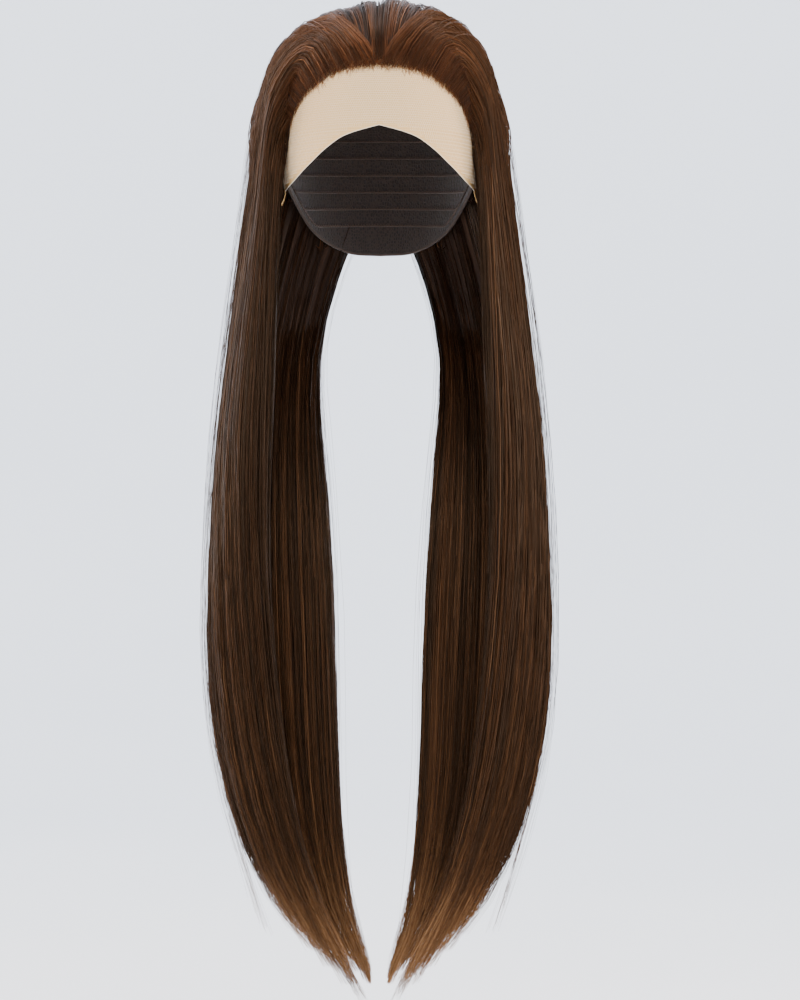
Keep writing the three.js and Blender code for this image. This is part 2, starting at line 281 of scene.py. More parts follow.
def crown_point(strand, along, lift):
    """Point of the hair on the head at a lift off it. x is positive on either side."""
    d = flow(strand, along)
    turn = np.degrees(np.arctan2(d[..., 0], -d[..., 1]))
    tilt = np.degrees(np.arccos(np.clip(d[..., 2], -1, 1)))
    return on_head(turn, tilt, lift)


def section(rows, level, across):
    """Centre, outward direction and half thickness of a hanging mass."""
    def at(column):
        return read(rows, "row", level, column)

    a = np.stack([FALL_REACH * at("ax"), FALL_FORWARD * at("ay"), -HAIR_DROP * at("aDrop")], axis=-1)
    b = np.stack([FALL_REACH * at("bx"), FALL_FORWARD * at("by"), -HAIR_DROP * at("bDrop")], axis=-1)
    out = np.stack([b[..., 1] - a[..., 1], a[..., 0] - b[..., 0], np.zeros_like(a[..., 0])], axis=-1)
    out = unit(out)
    hump = 1 - (2 * across - 1) ** 2
    centre = mix(a, b, across[..., None]) + out * (FALL_THICKNESS * at("bow") * hump)[..., None]
    edge = 1 - EDGE_THINNESS * (2 * across - 1) ** 4
    return centre, out, FALL_THICKNESS * at("thick") * edge / 2


# Rows of sections and the turns between which each mass leaves the head
FALLS = {
    "side": (SIDE_FALL, TEMPLE_ANGLE, FALL_SPLIT_ANGLE - 0.4),
    "nape": (NAPE_FALL, FALL_SPLIT_ANGLE + 0.4, 180 - PART_TURN),
}
# Share of its length where the under layer of each mass ends, and how unevenly its strands end
UNDER_END = {"side": 0.86, "nape": 0.88}
RAGGED = {"side": 0.8, "nape": 0.6}


def fall_point(fall, side, across, down, depth, tips=1.0):
    """Point of a hanging mass: across and down from 0 to 1, depth 1 outside and -1 inside. tips is
    the share of the solids' pointed ends that it follows."""
    rows, turn_a, turn_b = FALLS[fall]
    turn = mix(turn_a, turn_b, across)
    strand = (180 - PART_TURN - turn) / (180 - PART_TURN - TEMPLE_ANGLE)
    one = np.ones_like(strand)
    lift = HAIR_SKIN + hair_lift(side, strand, one) * (depth + 1) / 2
    head = crown_point(strand, one, lift)
    level = down * rows["row"][-1]
    centre, out, half = section(rows, np.maximum(level, 1), across)
    wave = lock_wave(turn)
    lock = np.minimum(LOCK_DEPTH, 4 * LOCK_DEPTH * half / FALL_THICKNESS) * wave * 0.5
    point = centre + out * ((half + lock) * depth)[..., None]
    tip = np.maximum(0, (down - 0.8) / 0.2)
    point[..., 2] += LOCK_TIP * tips * (0.4 - wave) * tip * tip
    near = np.clip(level, 0, 1)[..., None]
    return mix(head, point, near)


HAIR_SKIN = CAP_LIFT + 0.3 * MM


def linear(code):
    """sRGB hex colour as linear red, green, blue and alpha."""
    parts = [int(code[i:i + 2], 16) / 255 for i in (1, 3, 5)]
    return [c / 12.92 if c <= 0.04045 else ((c + 0.055) / 1.055) ** 2.4 for c in parts] + [1.0]


def add(tree, kind, links=None, **settings):
    """A node with its settings; links gives each input a value or the socket that feeds it."""
    node = tree.nodes.new(kind)
    for name, value in settings.items():
        setattr(node, name, value)
    for name, value in (links or {}).items():
        if isinstance(value, bpy.types.NodeSocket):
            tree.links.new(value, node.inputs[name])
        else:
            node.inputs[name].default_value = value
    return node


def ramp(tree, factor, stops):
    """Colours over a factor, from sRGB hex stops."""
    node = add(tree, "ShaderNodeValToRGB", {"Fac": factor})
    elements = node.color_ramp.elements
    while len(elements) < len(stops):
        elements.new(0.5)
    for element, (place, code) in zip(elements, stops):
        element.position = place
        element.color = linear(code)
    return node


def new_material(name):
    material = bpy.data.materials.new(name)
    material.use_nodes = True
    material.node_tree.nodes.clear()
    return material, material.node_tree


def finish_material(tree, shader):
    add(tree, "ShaderNodeOutputMaterial", {"Surface": shader.outputs[0]})


def fibre_material():
    """Heat-resistant synthetic fibre, extruded smooth: a satin highlight runs across each strand,
    single strands differ a little in brown, and thin ends let light through and look golden."""
    material, tree = new_material("Brown synthetic fibre")
    tone = add(tree, "ShaderNodeAttribute", attribute_name="tone")
    along = add(tree, "ShaderNodeAttribute", attribute_name="along")
    strands = ramp(tree, tone.outputs["Fac"], [
        (0.0, "#201610"), (0.3, "#37271c"), (0.55, "#4b3627"), (0.8, "#6b4d37"), (1.0, "#927257"),
    ])
    # Colour along each strand: warm near the roots, darker over the lower lengths as painted shade, and pale
    # at the very ends as painted light through them.
    lengthwise = ramp(tree, along.outputs["Fac"], [
        (0.0, "#c09478"), (0.1, "#cbaa90"), (0.35, "#8b786a"), (0.7, "#74655a"), (0.92, "#92806c"),
        (1.0, "#fff0d4"),
    ])
    brown = add(tree, "ShaderNodeMix", {"Factor": 1.0, 6: strands.outputs[0], 7: lengthwise.outputs[0]},
                data_type="RGBA", blend_type="MULTIPLY")
    lift = add(tree, "ShaderNodeVectorMath", {0: brown.outputs[2], "Scale": 1.3}, operation="SCALE")
    shader = add(tree, "ShaderNodeBsdfPrincipled", {
        "Base Color": lift.outputs[0], "Roughness": 0.4, "IOR": 1.5,
        "Specular IOR Level": 0.38, "Specular Tint": linear("#e0b48c"),
    })
    finish_material(tree, shader)
    return material


def under_hair_material():
    """The same fibre deep in the mass, where it is hardly lit, so its brown is darkened as painted shade,
    with fine lengthwise streaks about 1 mm apart.
    """
    material, tree = new_material("Brown fibre under layer")
    uv = add(tree, "ShaderNodeUVMap", uv_map="lay")
    stretch = add(tree, "ShaderNodeMapping", {"Vector": uv.outputs[0], "Scale": (900, 6, 1)})
    streaks = add(tree, "ShaderNodeTexNoise", {"Vector": stretch.outputs[0], "Scale": 1.0, "Detail": 3.0})
    # Painted shade: browns darker than those of the loose strands.
    colour = ramp(tree, streaks.outputs["Fac"], [(0.3, "#170f0a"), (0.5, "#2b1c13"), (0.7, "#442e1f")])
    bump = add(tree, "ShaderNodeBump", {
        "Height": streaks.outputs["Fac"], "Strength": 0.8, "Distance": 0.6 * MM,
    })
    shader = add(tree, "ShaderNodeBsdfPrincipled", {
        "Base Color": colour.outputs[0], "Roughness": 0.65, "Specular IOR Level": 0.2,
        "Normal": bump.outputs[0],
    })
    finish_material(tree, shader)
    return material


def net_coordinates(tree, pitch, randomness=0.12):
    """Height of a hexagonal net of a real pitch in metres, drawn on the piece's own UV in metres."""
    uv = add(tree, "ShaderNodeUVMap", uv_map="lay")
    scaled = add(tree, "ShaderNodeMapping", {"Vector": uv.outputs[0], "Scale": (1 / pitch, 1 / pitch, 1)})
    cells = add(tree, "ShaderNodeTexVoronoi", {
        "Vector": scaled.outputs[0], "Scale": 1.0, "Randomness": randomness,
    }, feature="DISTANCE_TO_EDGE")
    return cells.outputs["Distance"]


def lace_material(name, alpha):
    """Swiss-type lace, warp knitted in fine matt yarn: a pale beige film of threads that lets part
    of what is behind it show. Its 0.6 mm cells are drawn 1.3 mm wide, so that they show."""
    material, tree = new_material(name)
    distance = net_coordinates(tree, 1.3 * MM)
    threads = add(tree, "ShaderNodeMapRange", {"Value": distance, "From Min": 0.08, "From Max": 0.3})
    colour = ramp(tree, threads.outputs[0], [(0.0, "#e7bd82"), (1.0, "#d6a768")])
    shader = add(tree, "ShaderNodeBsdfPrincipled", {
        "Base Color": colour.outputs[0], "Roughness": 0.8, "Specular IOR Level": 0.2, "Alpha": alpha,
    })
    finish_material(tree, shader)
    return material


def thread_material(name, code):
    """Matt polyester yarn, twisted: soft light, no gloss."""
    material, tree = new_material(name)
    place = add(tree, "ShaderNodeTexCoord")
    fleck = add(tree, "ShaderNodeTexNoise", {"Vector": place.outputs["Object"], "Scale": 900.0})
    shade = add(tree, "ShaderNodeMapRange", {"Value": fleck.outputs["Fac"], "To Min": 0.85, "To Max": 1.1})
    colour = add(tree, "ShaderNodeVectorMath", {0: linear(code)[:3], "Scale": shade.outputs[0]},
                 operation="SCALE")
    shader = add(tree, "ShaderNodeBsdfPrincipled", {
        "Base Color": colour.outputs[0], "Roughness": 0.8, "Sheen Weight": 0.2,
    })
    finish_material(tree, shader)
    return material


def cap_material():
    """Stretch cap net, warp knitted nylon: dark brown and matt, with open cells about 2 mm wide."""
    material, tree = new_material("Knitted cap net")
    distance = net_coordinates(tree, 2.0 * MM, 0.6)
    threads = add(tree, "ShaderNodeMapRange", {"Value": distance, "From Min": 0.02, "From Max": 0.3})
    colour = ramp(tree, threads.outputs[0], [(0.0, "#33261e"), (0.6, "#261b15"), (1.0, "#1d1410")])
    bump = add(tree, "ShaderNodeBump", {"Height": threads.outputs[0], "Strength": 0.6, "Distance": 0.5 * MM},
               invert=True)
    shader = add(tree, "ShaderNodeBsdfPrincipled", {
        "Base Color": colour.outputs[0], "Roughness": 0.85, "Sheen Weight": 0.2, "Normal": bump.outputs[0],
    })
    finish_material(tree, shader)
    return material


def studio_material():
    """Painted studio floor and wall, rolled smooth and matt: a pale cool grey with no shine."""
    material, tree = new_material("Pale studio paint")
    place = add(tree, "ShaderNodeTexCoord")
    mottle = add(tree, "ShaderNodeTexNoise", {"Vector": place.outputs["Object"], "Scale": 1.5})
    colour = ramp(tree, mottle.outputs["Fac"], [(0.3, "#e2e5ea"), (0.7, "#e8eaee")])
    shader = add(tree, "ShaderNodeBsdfPrincipled", {
        "Base Color": colour.outputs[0], "Roughness": 0.95, "Specular IOR Level": 0.1,
        "Emission Color": linear("#e2e8f1"), "Emission Strength": 0.92,
    })
    finish_material(tree, shader)
    return material


def piece_from(name, vertices, faces, material, uv=None):
    """A mesh object at the origin, smooth shaded, with an optional UV map in metres."""
    mesh = bpy.data.meshes.new(name)
    mesh.from_pydata([tuple(v) for v in vertices], [], faces)
    mesh.validate()
    mesh.update()
    mesh.polygons.foreach_set("use_smooth", [True] * len(mesh.polygons))
    if uv is not None:
        layer = mesh.uv_layers.new(name="lay")
        corners = np.empty(len(mesh.loops), dtype=int)
        mesh.loops.foreach_get("vertex_index", corners)
        layer.data.foreach_set("uv", np.asarray(uv)[corners].ravel())
    mesh.materials.append(material)
    obj = bpy.data.objects.new(name, mesh)
    bpy.context.collection.objects.link(obj)
    return obj


def closed_piece(name, outer, inner, material, uv, wrapped=False):
    """A closed sheet between an outer and an inner grid of points of shape (rows, columns, 3)."""
    rows, columns = outer.shape[:2]
    number = np.arange(rows * columns).reshape(rows, columns)
    under = number + rows * columns
    last = rows if wrapped else rows - 1
    faces = []
    for i in range(last):
        n = (i + 1) % rows
        for j in range(columns - 1):
            faces.append((number[i, j], number[n, j], number[n, j + 1], number[i, j + 1]))
            faces.append((under[i, j], under[i, j + 1], under[n, j + 1], under[n, j]))
        faces.append((number[i, 0], under[i, 0], under[n, 0], number[n, 0]))
        faces.append((number[i, -1], number[n, -1], under[n, -1], under[i, -1]))
    if not wrapped:
        for j in range(columns - 1):
            faces.append((number[0, j], number[0, j + 1], under[0, j + 1], under[0, j]))
            faces.append((number[-1, j], under[-1, j], under[-1, j + 1], number[-1, j + 1]))
    vertices = np.concatenate([outer.reshape(-1, 3), inner.reshape(-1, 3)])
    both = np.concatenate([uv.reshape(-1, 2), uv.reshape(-1, 2)])
    obj = piece_from(name, vertices, [tuple(int(k) for k in f) for f in faces], material, both)
    weld_and_face_out(obj)
    return obj


def weld_and_face_out(obj):
    """Merge points that fall together and turn every face outward."""
    work = bmesh.new()
    work.from_mesh(obj.data)
    bmesh.ops.remove_doubles(work, verts=work.verts, dist=1e-6)
    if work.calc_volume(signed=True) < 0:
        bmesh.ops.reverse_faces(work, faces=work.faces)
    work.to_mesh(obj.data)
    work.free()
    obj.data.set_sharp_from_angle(angle=math.radians(50))


def ride(obj, slot, *nodes):
    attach(obj, "root")
    if nodes:
        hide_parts(*nodes)


def grid(rows, columns):
    return np.meshgrid(np.linspace(0, 1, rows), np.linspace(0, 1, columns), indexing="ij")


def socket_name(tree, name):
    """Identifier of a named input of a node group."""
    return next(item.identifier for item in tree.interface.items_tree if item.name == name)


def tube_tree():
    """Turns lines of points into tapered tubes, waved a little sideways along their length."""
    tree = bpy.data.node_groups.new("Strand tubes", "GeometryNodeTree")
    for name, kind, value in (
        ("Lines", "NodeSocketGeometry", None),
        ("Width", "NodeSocketFloat", 0.7 * MM),
        ("Sides", "NodeSocketInt", 3),
        ("Wave", "NodeSocketFloat", 1.0 * MM),
        ("Wave scale", "NodeSocketFloat", 9.0),
        ("Seed", "NodeSocketFloat", 1.0),
        ("Finish", "NodeSocketMaterial", None),
    ):
        item = tree.interface.new_socket(name, in_out="INPUT", socket_type=kind)
        if value is not None:
            item.default_value = value
    tree.interface.new_socket("Tubes", in_out="OUTPUT", socket_type="NodeSocketGeometry")
    source = add(tree, "NodeGroupInput").outputs
    own = add(tree, "GeometryNodeInputNamedAttribute", {"Name": "strand"}, data_type="FLOAT")
    along = add(tree, "GeometryNodeInputNamedAttribute", {"Name": "along"}, data_type="FLOAT")
    thick = add(tree, "GeometryNodeInputNamedAttribute", {"Name": "thick"}, data_type="FLOAT")
    w = add(tree, "ShaderNodeMath", {0: own.outputs[0], 1: source["Seed"]}, operation="ADD")
    noise = add(tree, "ShaderNodeTexNoise", {"W": w.outputs[0], "Scale": source["Wave scale"], "Detail": 1.0},
                noise_dimensions="4D")
    centred = add(tree, "ShaderNodeVectorMath", {0: noise.outputs["Color"], 1: (0.5, 0.5, 0.5)},
                  operation="SUBTRACT")
    grow = add(tree, "ShaderNodeMath", {0: along.outputs[0], 1: source["Wave"]}, operation="MULTIPLY")
    sway = add(tree, "ShaderNodeVectorMath", {0: centred.outputs[0], "Scale": grow.outputs[0]},
               operation="SCALE")
    moved = add(tree, "GeometryNodeSetPosition", {"Geometry": source["Lines"], "Offset": sway.outputs[0]})
    curves = add(tree, "GeometryNodeMeshToCurve", {"Mesh": moved.outputs[0]})
    half = add(tree, "ShaderNodeMath", {0: source["Width"], 1: 0.5}, operation="MULTIPLY")
    radius = add(tree, "ShaderNodeMath", {0: thick.outputs[0], 1: half.outputs[0]}, operation="MULTIPLY")
    sized = add(tree, "GeometryNodeSetCurveRadius", {"Curve": curves.outputs[0], "Radius": radius.outputs[0]})
    ring = add(tree, "GeometryNodeCurvePrimitiveCircle", {"Resolution": source["Sides"], "Radius": 1.0})
    tubes = add(tree, "GeometryNodeCurveToMesh", {
        "Curve": sized.outputs[0], "Profile Curve": ring.outputs[0], "Fill Caps": True,
    })
    if "Scale" in tubes.inputs:
        tree.links.new(radius.outputs[0], tubes.inputs["Scale"])
    soft = add(tree, "GeometryNodeSetShadeSmooth", {"Geometry": tubes.outputs[0]})
    real = add(tree, "GeometryNodeRealizeInstances", {"Geometry": soft.outputs[0]})
    dressed = add(tree, "GeometryNodeSetMaterial", {
        "Geometry": real.outputs[0], "Material": source["Finish"],
    })
    add(tree, "NodeGroupOutput", {"Tubes": dressed.outputs[0]})
    return tree


def net_tree():
    """Turns a sheet of triangles into a net of hexagonal cells of thread."""
    tree = bpy.data.node_groups.new("Hexagonal net", "GeometryNodeTree")
    tree.interface.new_socket("Sheet", in_out="INPUT", socket_type="NodeSocketGeometry")
    tree.interface.new_socket("Thread", in_out="INPUT", socket_type="NodeSocketFloat")
    tree.interface.new_socket("Finish", in_out="INPUT", socket_type="NodeSocketMaterial")
    tree.interface.new_socket("Net", in_out="OUTPUT", socket_type="NodeSocketGeometry")
    source = add(tree, "NodeGroupInput").outputs
    cells = add(tree, "GeometryNodeDualMesh", {"Mesh": source["Sheet"]})
    curves = add(tree, "GeometryNodeMeshToCurve", {"Mesh": cells.outputs[0]})
    half = add(tree, "ShaderNodeMath", {0: source["Thread"], 1: 0.5}, operation="MULTIPLY")
    ring = add(tree, "GeometryNodeCurvePrimitiveCircle", {"Resolution": 3, "Radius": half.outputs[0]})
    threads = add(tree, "GeometryNodeCurveToMesh", {
        "Curve": curves.outputs[0], "Profile Curve": ring.outputs[0], "Fill Caps": True,
    })
    real = add(tree, "GeometryNodeRealizeInstances", {"Geometry": threads.outputs[0]})
    dressed = add(tree, "GeometryNodeSetMaterial", {
        "Geometry": real.outputs[0], "Material": source["Finish"],
    })
    add(tree, "NodeGroupOutput", {"Net": dressed.outputs[0]})
    return tree


def from_nodes(obj, tree, material, **inputs):
    """Run a geometry tree on an object and keep the result as its plain mesh."""
    modifier = obj.modifiers.new(tree.name, "NODES")
    modifier.node_group = tree
    for key, value in {**inputs, "Finish": material}.items():
        modifier[socket_name(tree, key)] = value
    made = bpy.data.meshes.new_from_object(obj.evaluated_get(bpy.context.evaluated_depsgraph_get()))
    made.name = obj.name
    obj.modifiers.remove(modifier)
    obj.data = made
    if material.name not in made.materials:
        made.materials.append(material)
    return obj


def tubes_along(name, lines, facts, material, **inputs):
    """Tubes along lines of points of shape (lines, points, 3), with facts as point attributes."""
    count, points = lines.shape[:2]
    mesh = bpy.data.meshes.new(name + " lines")
    mesh.vertices.add(count * points)
    mesh.vertices.foreach_set("co", lines.astype(np.float32).ravel())
    first = np.arange(count * points).reshape(count, points)
    pairs = np.stack([first[:, :-1], first[:, 1:]], axis=-1).reshape(-1, 2)
    mesh.edges.add(len(pairs))
    mesh.edges.foreach_set("vertices", pairs.ravel())
    for key, values in facts.items():
        data = mesh.attributes.new(key, "FLOAT", "POINT").data
        data.foreach_set("value", np.broadcast_to(values, (count, points)).astype(np.float32).ravel())
    mesh.update()
    obj = bpy.data.objects.new(name, mesh)
    bpy.context.collection.objects.link(obj)
    tree = bpy.data.node_groups.get("Strand tubes") or tube_tree()
    return from_nodes(obj, tree, material, **inputs)


CROWN_POINTS = 13
FALL_POINTS = 14
HAIRLINE_POINTS = 7
HAIRLINE_SKIN = CAP_CLEARANCE + LACE_WALL
# Share of the cap's lower height down to which hair is kept outside it
CAP_REACH = 0.62
# Points on each side of the joint of head and fall that are smoothed, and how many times
JOINT_REACH = 4
JOINT_PASSES = 5
FALL_PASSES = 2
# Way of combed hair: where it ends on the head, how soon it rises, and what counts as the hairline
COMB_END = 0.985
COMB_RISE = 0.07
HAIRLINE_SHARE = 0.03
# How much closer to the head the hair lies over the ear than at the crown, as a share of depth
SETTLE = 0.3
BACK_SETTLE = 0.16
# Shares of a side mass that sweep from the hairline and grow at the temple; the rest is combed back
SWEPT_SHARE = 0.56
TEMPLE_SHARE = 0.07
# Last turn of the swept hair at the centre of the hairline and at the temple, and how far it fans out
SWEPT_TURNS = (79, 65.5)
FAN = 34
FALL_TURNS = 63
# Share of a nape mass rooted low on the cap, the turns and drops of those roots, and where they go
LOW_SHARE = 0.2
LOW_TURN = 182
LOW_SPREAD = 44
LOW_ENDS = (158, 136)
LOW_DROPS = (88 * MM, 150 * MM)
LOW_FALL = 34 * MM
LOWEST_DROP = 178 * MM
# Deep strands are rooted this far along the way over the head
DEEP_ROOT = 0.7
# Closest that a curled end comes to the middle, and the share of its length at which it starts
MIDDLE_GAP = 7 * MM
CURL_START = 0.84
# Tone of the middle of a strand from 0 dark to 1 light, and how much lighter its end is
STRAND_TONE = 0.42
TIP_GOLD = 0.38
# Share of the solids' pointed ends that the hair follows
TIP_SHARE = 0.3


def keep_outside(points, lift):
    """Push points that fell inside the cap back out of it, down to the level of its rim."""
    height = np.where(points[..., 2] < -CROWN_HEIGHT, LOWER_HEIGHT, CROWN_HEIGHT) + lift
    up = (points[..., 2] + CROWN_HEIGHT) / height
    across = points[..., 0] / (HEAD_HALF_WIDTH + lift)
    along = points[..., 1] / (HEAD_HALF_DEPTH + lift)
    around = np.sqrt(across ** 2 + along ** 2) + 1e-9
    room = (1 - np.clip(np.abs(up), 0, 1) ** LOWER_FULLNESS) ** (1 / LOWER_ROUNDING)
    below = (up < 0) & (up > -CAP_REACH) & (around < room)
    above = (up >= 0) & (np.hypot(around, up) < 1)
    wider = np.where(below, room / around, 1.0)
    larger = np.where(above, 1 / np.hypot(around, up), 1.0)
    points[..., 0] *= wider * larger
    points[..., 1] *= wider * larger
    points[..., 2] = np.where(above, (points[..., 2] + CROWN_HEIGHT) * larger - CROWN_HEIGHT, points[..., 2])
    return points


def ease_joint(lines):
    """Smooth the bend where lines leave the head, and keep the rest of them as they are."""
    low, high = CROWN_POINTS - JOINT_REACH, CROWN_POINTS + JOINT_REACH
    for _ in range(JOINT_PASSES):
        middle = (lines[:, low - 1:high - 1] + lines[:, low + 1:high + 1]) / 2
        lines[:, low:high] = mix(lines[:, low:high], middle, 0.5)
    return keep_outside(lines, CAP_LIFT)


def strand_at(fall, across):
    """Place on its half of the head of the hair that hangs at a place across a mass."""
    turn_a, turn_b = FALLS[fall][1:]
    return (180 - PART_TURN - mix(turn_a, turn_b, across)) / (180 - PART_TURN - TEMPLE_ANGLE)


def combed_back(side, strand, depth, start, sway):
    """Points on the head of lines that are combed back over it from where they are rooted."""
    t = np.linspace(0, 1, CROWN_POINTS)[None, :]
    along = start[:, None] + (COMB_END - start[:, None]) * t
    across = np.clip(strand[:, None] + sway[:, None] * np.sin(np.pi * t), 0, 1)
    rooted = start[:, None] < HAIRLINE_SHARE
    own_rise = np.where(rooted, 1.0, 1 - np.exp(-(along - start[:, None]) / COMB_RISE))
    skin = np.where(rooted, HAIRLINE_SKIN, CAP_LIFT)
    lift = hair_lift(side, across, along) * (depth[:, None] + 1) / 2
    return crown_point(across, along, skin + (lift + 0.3 * MM) * own_rise)


def swept_aside(side, s, depth, ahead, bend, fan):
    """Points on the head of lines that rise from the hairline and sweep over the side. s is the
    place along the hairline, from its centre to the temple, and fan turns a line further back."""
    t = np.linspace(0, 1, CROWN_POINTS)[None, :]
    s = s[:, None]
    weights = {"a": 2 * (s - 0.5) * (s - 1), "b": -4 * s * (s - 1), "c": 2 * s * (s - 0.5)}

    def way(name, t):
        return sum(w * read(SWEEP, "along", t, f"{name}_{key}") for key, w in weights.items())

    front = s * TEMPLE_ANGLE
    turn = way("turn", t) + (front - way("turn", 0 * t)) * (1 - t) ** 2
    start = hairline_tilt(front) + np.degrees(ahead / CROWN_HEIGHT)[:, None]
    tilt = way("tilt", t) + (start - way("tilt", 0 * t)) * (1 - t) ** 2
    turn = turn + bend[:, None] * np.sin(np.pi * t) + fan[:, None] * smooth(0.1, 1, t)
    d = direction(turn, tilt)
    over = np.degrees(np.arcsin(np.clip(np.abs(d[..., 0]), 0, 1))) / 90
    full = SIDE_LIFT * read(LIFT, "over", over, "left" if side < 0 else "right")
    walked = np.arccos(np.clip((d * d[:, :1]).sum(-1), -1, 1)) * CROWN_HEIGHT * mix(1, 0.6, s)
    rise = 1 - np.exp(-walked / ROOT_RISE)
    part = 1 - 0.4 * np.exp(-(d[..., 0] / 0.12) ** 2)
    settled = depth[:, None] - SETTLE * smooth(0.4, 1.0, t)
    lift = (ROOT_LIFT + full * rise * part) * (settled + 1) / 2
    return on_head(turn, tilt, HAIRLINE_SKIN + lift)


def fall_levels(end, first=0.03):
    """Places down the fall of the points of lines, closer together near the head."""
    level = np.linspace(0, 1, FALL_POINTS) ** 1.2
    return first + (end[:, None] - first) * level[None, :]


def joined(head, hang, side):
    """Whole lines from their parts on the head and in the fall, smoothed and put on their side."""
    lines = ease_joint(np.concatenate([head, hang], axis=1))
    for _ in range(FALL_PASSES):
        middle = (lines[:, CROWN_POINTS:-2] + lines[:, CROWN_POINTS + 2:]) / 2
        lines[:, CROWN_POINTS + 1:-1] = mix(lines[:, CROWN_POINTS + 1:-1], middle, 0.5)
    lines[..., 0] *= side
    return lines


def under_lines(fall, side, across, depth, end):
    """Regular lines of the under layer. depth runs from the head to the ends."""
    one = np.ones_like(across)
    head = combed_back(side, strand_at(fall, across), depth[0] * one, 0.035 * one, 0 * one)
    down = fall_levels(end)
    fade = smooth(0.0, 0.12, down)
    thin = 1 - smooth(0.45, 1.0, down / end[:, None]) * 0.97
    edge = (1 - np.abs(2 * across - 1) ** 6)[:, None]
    deep = mix(depth[0] * one[:, None], depth[1] * thin * edge, fade)
    hang = fall_point(fall, side, across[:, None] + 0 * down, down, deep, TIP_SHARE)
    return joined(head, hang, side)


def strand_groups(fall, side, rng, count):
    """Head points, places across, depths at the head and in the fall of the strands of one mass, and a shift
    of each strand's tone that paints shade on the hair in the middle of the nape, at the temple and
    underneath.
    """
    one = np.ones
    if fall == "nape":
        across = rng.random(count)
        depth = np.where(rng.random(count) < 0.8, 1.05 - 0.5 * rng.random(count) ** 1.5,
                         rng.uniform(-1, 0.5, count))
        strand = strand_at(fall, across)
        start = HAIRLINE_SHARE + 0.72 * rng.random(count)
        start = np.where((strand < 0.06) & (rng.random(count) < 0.5), 0.015 * rng.random(count), start)
        start = np.where(depth < 0.3, DEEP_ROOT + 0.2 * rng.random(count), start)
        head = combed_back(side, strand, depth, start, rng.normal(0, 0.006, count))
        near = np.exp(-(strand / 0.03) ** 2)
        head[..., 0] += (rng.normal(0, 1.3 * MM, count) * near)[:, None]
        deep = np.where(rng.random(count) < 0.5, depth, -np.abs(depth))
        # The last of them are rooted low on the cap and cover its nape
        low = slice(count - int(LOW_SHARE * count), count)
        number = low.stop - low.start
        t = np.linspace(0, 1, CROWN_POINTS)[None, :]
        aside = (rng.random(number) ** 1.8)[:, None]
        root = LOW_TURN - LOW_SPREAD * aside
        drop = rng.uniform(*LOW_DROPS, number)[:, None]
        turn = mix(root, mix(*LOW_ENDS, aside), t ** 2.4)
        fallen = np.minimum(drop + 2 * MM + LOW_FALL * t ** 0.8, LOWEST_DROP)
        head[low] = on_head(turn, tilt_at_drop(fallen), CAP_LIFT + (0.2 + 5 * t) * MM)
        across[low] = 1 - aside[:, 0] * 0.7
        deep[low] = rng.uniform(-1, 0.6, number)
        depth[low] = 0.6
        # Painted shade darkens the strands near the middle of the nape, in the valley where the hair parts;
        # painted light makes the others a little lighter.
        return head, across, across, depth, deep, 0.05 - 0.35 * np.exp(-(strand / 0.05) ** 2)
    swept = int(count * SWEPT_SHARE)
    temple = int(count * TEMPLE_SHARE)
    back = count - swept - temple
    # Hair from the whole hairline, on top
    s = rng.random(swept) ** 0.85
    deep_front = 1.02 - 0.42 * rng.random(swept) ** 1.4 - 0.9 * smooth(0.8, 1, s) * rng.random(swept)
    fan = FAN * (1 - s) ** 3 * rng.random(swept) ** 1.5
    ahead = (np.abs(rng.normal(0, 2.2, swept)) - 0.8) * MM
    head_front = swept_aside(side, s, deep_front, ahead, rng.normal(0, 1.4, swept), fan)
    first_front = np.clip((mix(*SWEPT_TURNS, s) + fan - TEMPLE_ANGLE) / FALL_TURNS, 0, 1)
    low_front = np.clip((1 - s) ** 0.8 + rng.normal(0, 0.1, swept), 0, 1)
    # Short way from the lower hairline at the temple, on the inside of the front edge
    f = rng.uniform(TEMPLE_ANGLE - 4, 81, temple)[:, None]
    t = np.linspace(0, 1, CROWN_POINTS)[None, :]
    turn = mix(f, mix(TEMPLE_ANGLE, f, 0.6), t)
    tilt = hairline_tilt(f) + 10 * t ** 1.5
    head_temple = on_head(turn, tilt, HAIRLINE_SKIN + (0.5 + 9 * t * rng.random(temple)[:, None]) * MM)
    across_temple = rng.uniform(0, 0.2, temple)
    deep_temple = rng.uniform(-1, -0.1, temple)
    # Hair rooted behind the hairline, in the middle and underneath
    across = rng.random(back) ** 0.8
    depth = np.where(rng.random(back) < 0.7, 0.9 - 0.55 * rng.random(back), rng.uniform(-1, 0.3, back))
    start = 0.12 + 0.68 * rng.random(back)
    start = np.where(depth < 0.3, DEEP_ROOT + 0.2 * rng.random(back), start)
    head = combed_back(side, strand_at(fall, across), depth - BACK_SETTLE, start, rng.normal(0, 0.006, back))
    # The last holds each group's tone shift, painted shade on hair that lies under the top layer: most at the
    # temple, a little on the hair combed back.
    return (np.concatenate([head_front, head_temple, head]),
            np.concatenate([first_front, across_temple, across]),
            np.concatenate([low_front, across_temple, across]),
            np.concatenate([deep_front - SETTLE, deep_temple, depth - BACK_SETTLE]),
            np.concatenate([deep_front, deep_temple, depth]),
            np.concatenate([0 * one(swept), -0.15 * one(temple), -0.04 * one(back)]))


